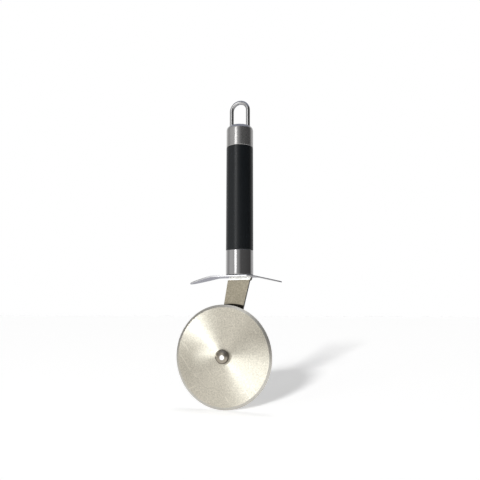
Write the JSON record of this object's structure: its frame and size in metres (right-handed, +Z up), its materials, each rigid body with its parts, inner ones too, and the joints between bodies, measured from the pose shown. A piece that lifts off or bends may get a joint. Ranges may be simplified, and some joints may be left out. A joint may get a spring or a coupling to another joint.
{
  "type": "pizza cutter",
  "caption": "Pizza cutter: a riveted round blade that spins on a side arm, under an oval finger guard and a round black handle with steel ends and a hanging loop.",
  "frame": {"origin": "the hang point: the inner top of the hanging loop, on the handle's axis", "axes": "+Z up along the handle's axis, the blade at the bottom; -Y is the front, the side of the blade and the rivet's head; +X is to the right seen from the front"},
  "size_m": [0.0715, 0.0188, 0.205],
  "materials": {
    "loop_wire": "polished stainless steel wire",
    "cap_steel": "drawn stainless steel, polished with faint turning marks",
    "ferrule_steel": "drawn stainless steel, mirror polished",
    "grip_black": "matte black moulding",
    "core_nylon": "natural nylon, hidden inside the handle",
    "guard_steel": "pressed stainless sheet, polished",
    "arm_steel": "stainless strip, fine satin",
    "blade_steel": "stainless disc, satin with circular grinding marks and a ground edge",
    "bush_brass": "turned",
    "rivet_steel": "bright steel",
    "washer_steel": "bright stamped steel",
    "pin_steel": "ground steel"
  },
  "bodies": {
    "handle": {"hanging_loop": "loop_wire", "end_cap": "cap_steel", "cap_plug": "core_nylon", "grip_sleeve": "grip_black", "handle_core": "core_nylon", "ferrule_plug": "core_nylon", "lower_ferrule": "ferrule_steel", "finger_guard": "guard_steel", "arm": "arm_steel", "tang_pins": "pin_steel", "axle_rivet": "rivet_steel", "spacer_washer": "washer_steel", "front_washer": "washer_steel", "rear_washer": "washer_steel"},
    "blade": {"cutting_wheel": "blade_steel", "wheel_bush": "bush_brass"}
  },
  "joints": [
    {"name": "wheel_spin", "type": "hinge", "parent": "handle", "child": "blade", "pos_m": [-0.0095, -0.00501, -0.1692], "axis": [0, -1, 0], "continuous": true}
  ]
}
